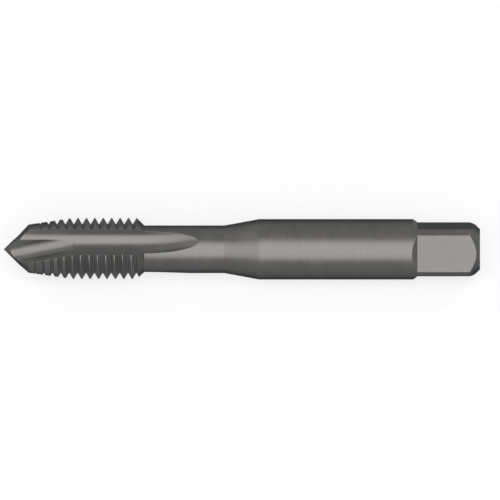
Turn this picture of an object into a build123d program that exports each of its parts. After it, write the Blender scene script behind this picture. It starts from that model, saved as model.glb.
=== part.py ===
"""Right-hand spiral point tap with three straight flutes, a relieved neck and a square drive.

The tap is one piece of ground steel. It lies along X as it rests on a bench, on the crests of
one land and the back of its shank, with its point at the low end and a corner of its driving
square straight down. The origin is on the axis, halfway along the plain shank. Lengths are in
millimetres and angles in degrees. "From the tip" is measured along the axis from the sharp end
of the point, and a turn about the axis is counted from +Y towards +Z.
"""

import os
from math import acos, asin, ceil, cos, degrees, radians, sin, sqrt, tan

from build123d import *

# Cutting thread
PITCH = 1.25
THREAD_RADIUS = 4.65
THREAD_ANGLE = 60.0          # between the two flanks of a groove
CREST_FLAT = 0.15
FIRST_GROOVE = 4.42          # from the tip to the groove's start, in the middle of the first flute
THREAD_END = 19.8            # from the tip to the end of the last full crest
THREAD_END_ANGLE = 45.0      # slope of the thread's end down to the neck

# Point and chamfer lead
POINT_ANGLE = 90.0
LEAD_START_RADIUS = 3.68
LEAD_ANGLE = 8.5

# Neck, shank and driving square
NECK_RADIUS = 3.55
NECK_END = 32.8              # from the tip
NECK_CONE_ANGLE = 10.4
SHANK_RADIUS = 4.5
SQUARE_FLATS = 7.1
SQUARE_START = 61.5          # from the tip to the foot of the square's shoulders
SHOULDER_ANGLE = 50.0
FIRST_FLAT_TURN = 45.0       # puts one corner of the square straight down
TOTAL_LENGTH = 70.8
END_FACE_RADIUS = 3.0
END_CHAMFER_ANGLE = 45.0

# Centre hole in the square end, for grinding between centres
CENTRE_MOUTH_RADIUS = 1.7
CENTRE_ANGLE = 60.0
CENTRE_PILOT_RADIUS = 0.8
CENTRE_PILOT_END = 3.4       # from the end face to the bottom of the pilot hole's wall
CENTRE_DRILL_ANGLE = 118.0   # of the pilot hole's pointed bottom

# Chip flutes
FLUTES = 3
FIRST_FLUTE_TURN = 105.0     # puts a land, the thread between two flutes, under the tap
FLUTE_RADIUS = 2.1
FLUTE_CENTRE = 4.25          # from the axis to the centre of the flute's round bottom
FLUTE_STRAIGHT = 19.3        # from the tip to where the flute starts to rise
FLUTE_WHEEL_RADIUS = 34.0    # of the wheel that leaves the flute's rising end

# Spiral point cut, on the cutting side of each flute
CUT_LENGTH = 10.4            # from the tip
CUT_ANGLE = 12.8             # slope of the cut towards the axis
CUT_RADIUS = 1.8
CUT_FLOOR = 0.9              # from the axis to the cut's flat floor
CUT_FLOOR_TURN = 50.0        # from the middle of the flute to square on to the floor
CUT_FLOOR_REACH = 0.87       # from square below the flute's centre to the floor's outer edge

# Room for tools to run past the steel that they cut
RUN_PAST = 0.5

# Positions along the axis, from the tip
thread_slope = tan(radians(THREAD_ANGLE / 2))
thread_depth = (PITCH - CREST_FLAT) / 2 / thread_slope
point_length = LEAD_START_RADIUS / tan(radians(POINT_ANGLE / 2))
lead_length = (THREAD_RADIUS - LEAD_START_RADIUS) / tan(radians(LEAD_ANGLE))
thread_end_length = (THREAD_RADIUS - NECK_RADIUS) / tan(radians(THREAD_END_ANGLE))
shank_start = NECK_END + (SHANK_RADIUS - NECK_RADIUS) / tan(radians(NECK_CONE_ANGLE))
shoulder_height = SHANK_RADIUS - SQUARE_FLATS / 2
shank_end = SQUARE_START - shoulder_height / tan(radians(SHOULDER_ANGLE))
end_chamfer_start = TOTAL_LENGTH - (SHANK_RADIUS - END_FACE_RADIUS) / tan(radians(END_CHAMFER_ANGLE))
shank_middle = (shank_start + shank_end) / 2

# Flute section: a round bottom between two walls that lie in line with the axis
flute_half_turn = degrees(asin(FLUTE_RADIUS / FLUTE_CENTRE))
flute_bottom = FLUTE_CENTRE - FLUTE_RADIUS


def along(turn, length):
    """The point of a cross-section that lies at this turn and this distance from the axis."""
    return Vector(length * cos(radians(turn)), length * sin(radians(turn)))


def turned_blank():
    """The tap before it is threaded, fluted and squared, turned about X."""
    outline = Polyline(
        (0, 0),
        (point_length, LEAD_START_RADIUS),
        (point_length + lead_length, THREAD_RADIUS),
        (THREAD_END, THREAD_RADIUS),
        (THREAD_END + thread_end_length, NECK_RADIUS),
        (NECK_END, NECK_RADIUS),
        (shank_start, SHANK_RADIUS),
        (end_chamfer_start, SHANK_RADIUS),
        (TOTAL_LENGTH, END_FACE_RADIUS),
        (TOTAL_LENGTH, 0),
        close=True,
    )
    return revolve(make_face(outline), axis=Axis.X)


def thread_grooves():
    """The thread's sharp V groove, wound right-handed, in lengths that each cross one land.

    Every length starts and ends in the middle of a flute, so the lands are cut without a joint.
    """
    bottom_radius = THREAD_RADIUS - thread_depth
    mouth_radius = THREAD_RADIUS + CREST_FLAT / 4 / thread_slope
    mouth_half_width = (mouth_radius - bottom_radius) * thread_slope
    section = make_face(
        Polyline(
            (bottom_radius, 0, 0),
            (mouth_radius, 0, -mouth_half_width),
            (mouth_radius, 0, mouth_half_width),
            close=True,
        )
    )
    advance = PITCH / FLUTES
    path = Helix(pitch=PITCH, height=advance, radius=bottom_radius)
    over_one_land = Rot(0, 90, 0) * Rot(0, 0, 90) * sweep(section, path=path, is_frenet=True)
    lengths = ceil((THREAD_END - FIRST_GROOVE) / advance)
    return [
        Pos(FIRST_GROOVE + advance * i, 0, 0) * Rot(FIRST_FLUTE_TURN + 360 / FLUTES * i, 0, 0) * over_one_land
        for i in range(lengths)
    ]


def flute():
    """One chip flute whose middle lies along +Y: a straight run that rises out of the neck."""
    outer = (THREAD_RADIUS + RUN_PAST) / cos(radians(flute_half_turn))
    wall_foot = sqrt(FLUTE_CENTRE**2 - FLUTE_RADIUS**2)
    lower_wall = Line(along(-flute_half_turn, outer), along(-flute_half_turn, wall_foot))
    bottom = TangentArc(lower_wall @ 1, along(flute_half_turn, wall_foot), tangent=lower_wall % 1)
    upper_wall = Line(bottom @ 1, along(flute_half_turn, outer))
    section = make_face(lower_wall + bottom + upper_wall + Line(upper_wall @ 1, lower_wall @ 0))
    plane = Plane.YZ.offset(FLUTE_STRAIGHT)
    straight = extrude(plane * section, amount=-(FLUTE_STRAIGHT + RUN_PAST))
    rise = SHANK_RADIUS + RUN_PAST - flute_bottom
    rise_turn = degrees(acos(1 - rise / FLUTE_WHEEL_RADIUS))
    wheel_axis = Axis((FLUTE_STRAIGHT, flute_bottom + FLUTE_WHEEL_RADIUS, 0), (0, 0, 1))
    rising_end = revolve(plane * section, axis=wheel_axis, revolution_arc=rise_turn)
    return straight + rising_end


def spiral_point_cut():
    """The slanting cut in the flute along +Y that turns its cutting edge to push chips ahead.

    Its section is a round between a flat floor, which stays parallel to the tap's axis, and a
    wall parallel to the flute's cutting face. The section slides down along its floor as it
    nears the tip, and where it starts its round just touches the cutting face.
    """
    floor_normal = along(CUT_FLOOR_TURN, 1)
    floor_line = along(CUT_FLOOR_TURN - 90, 1)
    wall_line = along(flute_half_turn, 1)
    wall_normal = along(flute_half_turn - 90, 1)

    centre_height = CUT_FLOOR + CUT_RADIUS
    touch = (CUT_RADIUS - centre_height * floor_normal.dot(wall_normal)) / floor_line.dot(wall_normal)
    centre = floor_normal * centre_height + floor_line * touch

    below_centre = Vector(FLUTE_CENTRE, 0).dot(floor_line)
    floor_end = floor_normal * CUT_FLOOR + floor_line * (below_centre + CUT_FLOOR_REACH)

    outer = THREAD_RADIUS + RUN_PAST
    floor = Line(floor_end, centre - floor_normal * CUT_RADIUS)
    wall_start = centre - wall_normal * CUT_RADIUS
    turn = TangentArc(floor @ 1, wall_start, tangent=floor % 1)
    wall = Line(turn @ 1, wall_start + wall_line * outer)
    section = make_face(floor + turn + wall + Polyline(wall @ 1, (outer, floor_end.Y), floor @ 0))
    slope = tan(radians(CUT_ANGLE))
    slide = Vector(-1, -slope * floor_line.X, -slope * floor_line.Y)
    start = Vector(CUT_LENGTH, 0, 0) - slide * RUN_PAST
    reach = (CUT_LENGTH + 2 * RUN_PAST) * slide.length
    return Pos(start) * extrude(Plane.YZ * section, amount=reach, dir=slide)


def square_flat():
    """What one flat of the driving square and its sloping shoulder take off, on the +Y side."""
    outer = SHANK_RADIUS + RUN_PAST
    shoulder_run = (outer - SQUARE_FLATS / 2) / tan(radians(SHOULDER_ANGLE))
    profile = Polyline(
        (SQUARE_START, SQUARE_FLATS / 2),
        (SQUARE_START - shoulder_run, outer),
        (TOTAL_LENGTH + RUN_PAST, outer),
        (TOTAL_LENGTH + RUN_PAST, SQUARE_FLATS / 2),
        close=True,
    )
    return extrude(make_face(profile), amount=outer, both=True)


def centre_hole():
    """The countersunk centre hole in the middle of the end face."""
    cone_depth = (CENTRE_MOUTH_RADIUS - CENTRE_PILOT_RADIUS) / tan(radians(CENTRE_ANGLE / 2))
    pilot_cone = CENTRE_PILOT_RADIUS / tan(radians(CENTRE_DRILL_ANGLE / 2))
    outline = Polyline(
        (TOTAL_LENGTH - CENTRE_PILOT_END - pilot_cone, 0),
        (TOTAL_LENGTH - CENTRE_PILOT_END, CENTRE_PILOT_RADIUS),
        (TOTAL_LENGTH - cone_depth, CENTRE_PILOT_RADIUS),
        (TOTAL_LENGTH, CENTRE_MOUTH_RADIUS),
        (TOTAL_LENGTH, 0),
        close=True,
    )
    return revolve(make_face(outline), axis=Axis.X)


def around_axis(tool, count, first_turn):
    """Copies of a tool, evenly spaced round the tap's axis."""
    return [Rot(first_turn + 360 * i / count, 0, 0) * tool for i in range(count)]


tap = turned_blank()
tap -= around_axis(flute(), FLUTES, FIRST_FLUTE_TURN)
tap -= around_axis(spiral_point_cut(), FLUTES, FIRST_FLUTE_TURN)
tap -= around_axis(square_flat(), 4, FIRST_FLAT_TURN)
tap -= centre_hole()
tap -= thread_grooves()
tap = Pos(-shank_middle, 0, 0) * tap

os.makedirs("parts", exist_ok=True)
export_step(tap, "parts/tap.step")
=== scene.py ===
from math import cos, pi, radians, sin, tan

import bmesh
import bpy
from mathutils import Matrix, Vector


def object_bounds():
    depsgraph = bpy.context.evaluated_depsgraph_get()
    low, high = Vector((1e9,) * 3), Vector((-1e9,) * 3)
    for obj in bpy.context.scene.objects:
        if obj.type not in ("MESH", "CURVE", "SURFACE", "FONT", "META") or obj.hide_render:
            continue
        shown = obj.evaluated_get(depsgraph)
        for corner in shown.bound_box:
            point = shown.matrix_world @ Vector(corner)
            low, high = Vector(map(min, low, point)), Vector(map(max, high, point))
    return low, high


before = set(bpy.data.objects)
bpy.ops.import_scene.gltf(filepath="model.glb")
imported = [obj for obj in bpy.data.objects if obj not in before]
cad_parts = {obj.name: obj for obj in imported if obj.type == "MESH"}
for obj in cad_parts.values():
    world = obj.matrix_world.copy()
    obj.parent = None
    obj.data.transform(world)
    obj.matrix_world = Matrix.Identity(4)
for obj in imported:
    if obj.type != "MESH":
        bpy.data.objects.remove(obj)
cad_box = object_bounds()
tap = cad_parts["tap"]

MM = 0.001

# The tap's own sizes, in millimetres along X and out from its axis, as its solid has them
TIP = -49.34
POINT_REACH = 0.85
LEAD_START = TIP + 3.68
LEAD_START_RADIUS = 3.68
LEAD_SLOPE = tan(radians(8.5))
LEAD_END = -39.17
CREST = 4.65
ROOT = 3.7
THREAD_END = -29.54
NECK = 3.55
NECK_START = THREAD_END + CREST - NECK
NECK_END = -16.54
SHANK = 4.5
SHOULDER_TOP = 11.36
SHOULDER_FOOT = 12.16
FLAT = 3.55
END = 21.46

# Its flutes, in degrees round the axis from +Y towards +Z
FIRST_FLUTE_TURN = 105
FLUTE_TO_FLUTE = 120
LAND_START = 29.6
LAND_END = FLUTE_TO_FLUTE - LAND_START

# Its finish: how far edges are rounded, in millimetres, and the colours of the steel, including
# painted light for the recesses and the shoulder and painted highlights for the thread's crests
# and roots
EDGE_ROUND = 0.08
MARK_DEPTH = 0.004
GROUND = (0.096, 0.094, 0.091, 1)
# Painted light: the recesses' colour, lighter than the ground steel
RECESS_PAINTED_LIGHT = (0.117, 0.124, 0.12, 1)
# Painted light: the shoulder's colour, lighter than the ground steel
SHOULDER_PAINTED_LIGHT = (0.135, 0.132, 0.128, 1)
# Worn edges, and the painted highlights along hollow edges and the thread's crests and roots
WORN_EDGE_AND_PAINTED_HIGHLIGHT = (0.36, 0.354, 0.342, 1)
PALE = (0.5, 0.49, 0.47, 1)
BLACK = (0.0, 0.0, 0.0, 1)
GRAZING_TINT = (0.27, 0.295, 0.29, 1)

# The studio
WHITE = (1, 1, 1, 1)
PAPER = (0.93, 0.965, 1.0, 1)
LAMPLIGHT = (1.0, 0.965, 0.935)
FLOOR_REACH = 20
FLOOR_GLOW = 0.7
FAINT_LIGHT = 0.05

# The view: degrees up from the bench, and where the tap stands in a frame of square pixels
CAMERA_RISE = 56.15
CAMERA_AWAY = 0.6
FRAME_PIXELS = 500
PIXELS_PER_MM = 6.727
TIP_PIXEL = 3.72
AXIS_PIXELS_UP = 0.71


class Value:
    """An output of a shader node. Sums written with it add their Math nodes."""

    def __init__(self, finish, socket):
        self.finish = finish
        self.socket = socket

    def output(self, name):
        """Another output of the same node."""
        return Value(self.finish, self.socket.node.outputs[name])

    def maths(self, operation, *values):
        return self.finish.add("ShaderNodeMath", {"operation": operation}, dict(enumerate(values)))

    def __add__(self, other):
        return self.maths("ADD", self, other)

    def __radd__(self, other):
        return self.maths("ADD", other, self)

    def __sub__(self, other):
        return self.maths("SUBTRACT", self, other)

    def __rsub__(self, other):
        return self.maths("SUBTRACT", other, self)

    def __mul__(self, other):
        return self.maths("MULTIPLY", self, other)

    def __rmul__(self, other):
        return self.maths("MULTIPLY", other, self)

    def __abs__(self):
        return self.maths("ABSOLUTE", self)

    def root(self):
        return self.maths("SQRT", self)

    def larger(self, other):
        return self.maths("MAXIMUM", self, other)

    def smaller(self, other):
        return self.maths("MINIMUM", self, other)

    def wrapped(self, span):
        return self.maths("FLOORED_MODULO", self, span)

    def turn_from(self, out):
        """The turn in degrees, seen from the axis, of a point this far up and that far out."""
        return self.maths("ARCTAN2", self, out) * (180 / pi)

    def rise(self, start, end):
        """Goes smoothly from 0 at the start to 1 at the end, which may be the lower of the two."""
        if start > end:
            return 1 - self.rise(end, start)
        return self.finish.add(
            "ShaderNodeMapRange",
            {"interpolation_type": "SMOOTHSTEP"},
            {"Value": self, "From Min": start, "From Max": end},
        )


class Finish:
    """The node tree of one finish."""

    def __init__(self, tree):
        self.tree = tree
        tree.nodes.clear()

    def add(self, kind, settings=None, sockets=None, output=0):
        """Makes a node: first its settings, then the values or links of its sockets."""
        node = self.tree.nodes.new(kind)
        for name, value in (settings or {}).items():
            setattr(node, name, value)
        for place, value in (sockets or {}).items():
            if isinstance(value, Value):
                self.tree.links.new(value.socket, node.inputs[place])
            else:
                node.inputs[place].default_value = value
        return Value(self, node.outputs[output]) if len(node.outputs) else node

    def mix(self, share, low, high):
        """One colour where the share is 0, the other where it is 1."""
        return self.add(
            "ShaderNodeMix", {"data_type": "RGBA"}, {0: share, 6: low, 7: high}, output=2
        )

    def noise(self, place, scale, detail, roughness):
        return self.add(
            "ShaderNodeTexNoise",
            {},
            {"Vector": place, "Scale": scale, "Detail": detail, "Roughness": roughness},
        )

    def grain(self, x, y, z):
        """Noise, fine along the axes that are multiplied and drawn out along the others."""
        place = self.add("ShaderNodeCombineXYZ", {}, {"X": x, "Y": y, "Z": z})
        return self.noise(place, 1.0, 3.0, 0.6)

    def seen(self):
        """1 for what the camera, gloss or glass sees, and 0 for light that falls on things."""
        ray = self.add("ShaderNodeLightPath", output="Is Camera Ray")
        return ray.larger(ray.output("Is Glossy Ray")).larger(ray.output("Is Transmission Ray"))


def ground_steel():
    material = bpy.data.materials.new("ground steel")
    material.use_nodes = True
    s = Finish(material.node_tree)

    metres = s.add("ShaderNodeTexCoord", output="Object")
    place = s.add(
        "ShaderNodeVectorMath", {"operation": "SCALE"}, {"Vector": metres, "Scale": 1 / MM}
    )
    x = s.add("ShaderNodeSeparateXYZ", {}, {"Vector": place})
    y = x.output("Y")
    z = x.output("Z")
    radius = (y * y + z * z).root()

    # The driving square, whose flats lie at 45 degrees to Y and Z, and its shoulders
    slant = cos(radians(45))
    reach = (abs(y + z) * slant).larger(abs(y - z) * slant)
    past_shoulder = x.rise(SHOULDER_FOOT - 0.05, SHOULDER_FOOT)
    before_end = x.rise(END - 0.05, END - 0.1)
    on_flat = past_shoulder * before_end * reach.rise(FLAT + 0.04, FLAT + 0.02)
    below_shank = radius.rise(SHANK - 0.03, SHANK - 0.07)
    on_shoulder = x.rise(SHOULDER_TOP, SHOULDER_TOP + 0.05) * (1 - past_shoulder) * below_shank

    # How deep a point lies below the turned blank: point, lead, crest, then the fall to the neck.
    # The point's mesh lies up to 0.1 mm inside its cone, so a cut starts deeper than that.
    lead = (x - LEAD_START) * LEAD_SLOPE + LEAD_START_RADIUS
    fall = (THREAD_END + CREST - x).larger(NECK)
    depth = (x - TIP).smaller(lead).smaller(CREST).smaller(fall) - radius
    cut_away = x.rise(NECK_END, NECK_END - 0.1) * depth.rise(0.1, 0.15)
    past_flute = (z.turn_from(y) - FIRST_FLUTE_TURN).wrapped(FLUTE_TO_FLUTE)
    off_land = past_flute.rise(LAND_START + 0.8, LAND_START + 0.4).larger(
        past_flute.rise(LAND_END - 0.8, LAND_END - 0.4)
    )
    in_flute = cut_away * radius.rise(ROOT, ROOT - 0.1).larger(off_land)

    # The recesses stay duller: the thread's flanks, and the flutes' walls on their cutting side.
    # Their colour is painted lighter than the ground steel, as painted light in these hollows.
    cutting_side = past_flute.rise(8, 20) * past_flute.rise(84, 80) * radius.rise(2.2, 2.8)
    flanks = radius.rise(3.0, 3.9)
    recess = cut_away * x.rise(NECK_START + 6, NECK_START + 1) * cutting_side.larger(flanks)
    dull = recess.larger(on_shoulder)

    # Edges are where the rounded normal leaves the surface's own; outer edges are worn bright, and
    # hollow edges such as the thread's roots get the same lighter colour as a painted highlight
    rounded = s.add("ShaderNodeBevel", {"samples": 8}, {"Radius": EDGE_ROUND * MM})
    own = s.add("ShaderNodeNewGeometry", output="Normal")
    likeness = s.add(
        "ShaderNodeVectorMath", {"operation": "DOT_PRODUCT"}, {0: rounded, 1: own}, output="Value"
    )
    at_point = x.rise(TIP + POINT_REACH, TIP + POINT_REACH - 0.1)
    edge = likeness.rise(0.995, 0.9) * (1 - at_point)
    on_land = x.rise(THREAD_END, THREAD_END - 0.05) * (1 - in_flute)
    # Thin lines along the thread's crests and roots are painted highlights
    painted_crest_highlight = on_land * depth.rise(0.04, 0.02) * x.rise(LEAD_END - 0.6, LEAD_END)
    painted_root_highlight = on_land * cut_away * radius.rise(ROOT + 0.1, ROOT + 0.03)
    # Worn edges and the painted highlights share one lighter colour
    wear_and_painted_highlight = (painted_root_highlight * 0.75).larger(edge * 0.35).larger(painted_crest_highlight * 0.12)

    # Wheel marks run round what was turned and along what was cut lengthwise
    rings = s.grain(x * 7, radius * 7, y * 0.25)
    strokes = s.grain(x * 0.25, y * 7, z * 7)
    marks = rings + in_flute.larger(on_flat) * (strokes - rings)
    clouds = s.noise(place, 0.45, 4.0, 0.55)
    shade = (marks - 0.5) * 0.28 + (clouds - 0.5) * 0.3

    # The recesses get painted light: a colour lighter than the ground steel
    colour = s.mix(recess, GROUND, RECESS_PAINTED_LIGHT)
    # The shoulder gets painted light: a colour lighter than the ground steel
    colour = s.mix(on_shoulder, colour, SHOULDER_PAINTED_LIGHT)
    # Worn edges, and painted highlights on hollow edges and the thread's crests and roots
    colour = s.mix(wear_and_painted_highlight * (0.3 + clouds * 0.4), colour, WORN_EDGE_AND_PAINTED_HIGHLIGHT)
    colour = s.mix((0 - shade).larger(0), colour, BLACK)
    colour = s.mix(shade.larger(0) * 0.25, colour, PALE)

    # The mesh's own normals are uneven at the very point, so there the cone's are worked out
    outward = s.add("ShaderNodeCombineXYZ", {}, {"X": 0 - radius, "Y": y, "Z": z})
    cone = s.add("ShaderNodeVectorMath", {"operation": "NORMALIZE"}, {0: outward})
    facing = s.add(
        "ShaderNodeMix", {"data_type": "VECTOR"}, {0: at_point, 4: rounded, 5: cone}, output=1
    )
    bump = s.add(
        "ShaderNodeBump",
        {},
        {"Height": marks, "Distance": MARK_DEPTH * MM, "Strength": 0.6, "Normal": facing},
    )
    surface = s.add(
        "ShaderNodeBsdfPrincipled",
        {},
        {
            "Base Color": colour,
            "Metallic": 1 - 0.35 * recess,
            "Roughness": 0.35 + 0.3 * dull + (clouds - 0.5) * 0.16 + (marks - 0.5) * 0.12,
            "Specular Tint": GRAZING_TINT,
            "Normal": bump,
        },
    )
    s.add("ShaderNodeOutputMaterial", {}, {"Surface": surface})
    return material


def link(name, data):
    thing = bpy.data.objects.new(name, data)
    bpy.context.scene.collection.objects.link(thing)
    return thing


def floor():
    mesh = bpy.data.meshes.new("floor")
    bm = bmesh.new()
    bmesh.ops.create_grid(bm, x_segments=1, y_segments=1, size=FLOOR_REACH)
    bmesh.ops.translate(bm, verts=bm.verts, vec=(0, 0, cad_box[0].z))
    bm.to_mesh(mesh)
    bm.free()
    material = bpy.data.materials.new("white paper")
    material.use_nodes = True
    s = Finish(material.node_tree)
    paper = s.add("ShaderNodeBsdfDiffuse", {}, {"Color": PAPER})
    white = s.add("ShaderNodeEmission", {}, {"Color": WHITE, "Strength": 1.0})
    surface = s.add("ShaderNodeMixShader", {}, {0: FLOOR_GLOW * s.seen(), 1: paper, 2: white})
    s.add("ShaderNodeOutputMaterial", {}, {"Surface": surface})
    mesh.materials.append(material)
    link("floor", mesh)


def studio_air():
    world = bpy.data.worlds.new("studio")
    world.use_nodes = True
    bpy.context.scene.world = world
    s = Finish(world.node_tree)
    strength = FAINT_LIGHT + (1 - FAINT_LIGHT) * s.seen()
    air = s.add("ShaderNodeBackground", {}, {"Color": WHITE, "Strength": strength})
    s.add("ShaderNodeOutputWorld", {}, {"Surface": air})


def softbox(width, height, turn, rise, radiance):
    """A lamp one metre from the tap, at degrees round from the front and degrees up."""
    data = bpy.data.lights.new("softbox", "AREA")
    data.shape = "RECTANGLE"
    data.size = width
    data.size_y = height
    data.energy = radiance * pi * width * height
    data.color = LAMPLIGHT
    lamp = link("softbox", data)
    lamp.rotation_euler = (radians(90 - rise), 0, radians(turn))
    level = cos(radians(rise))
    lamp.location = (
        sin(radians(turn)) * level,
        -cos(radians(turn)) * level,
        sin(radians(rise)),
    )


def camera():
    back = Vector((0, -cos(radians(CAMERA_RISE)), sin(radians(CAMERA_RISE))))
    up = Vector((0, sin(radians(CAMERA_RISE)), cos(radians(CAMERA_RISE))))
    middle = (FRAME_PIXELS / 2 - TIP_PIXEL) / PIXELS_PER_MM + TIP
    lowered = AXIS_PIXELS_UP / PIXELS_PER_MM
    data = bpy.data.cameras.new("camera")
    data.type = "ORTHO"
    data.ortho_scale = FRAME_PIXELS / PIXELS_PER_MM * MM
    data.clip_end = 10
    thing = link("camera", data)
    thing.rotation_euler = (radians(90 - CAMERA_RISE), 0, 0)
    thing.location = Vector((middle * MM, 0, 0)) - up * (lowered * MM) + back * CAMERA_AWAY
    bpy.context.scene.camera = thing


tap.data.materials.clear()
tap.data.materials.append(ground_steel())

floor()
studio_air()
softbox(1.0, 1.45, 0, CAMERA_RISE - 3.4, 3.0)
for side in (-1, 1):
    softbox(0.3, 0.8, side * 56, 30, 2.2)
    softbox(0.3, 0.8, side * 128, 30, 3.0)
camera()
bpy.context.scene.view_settings.view_transform = "Standard"
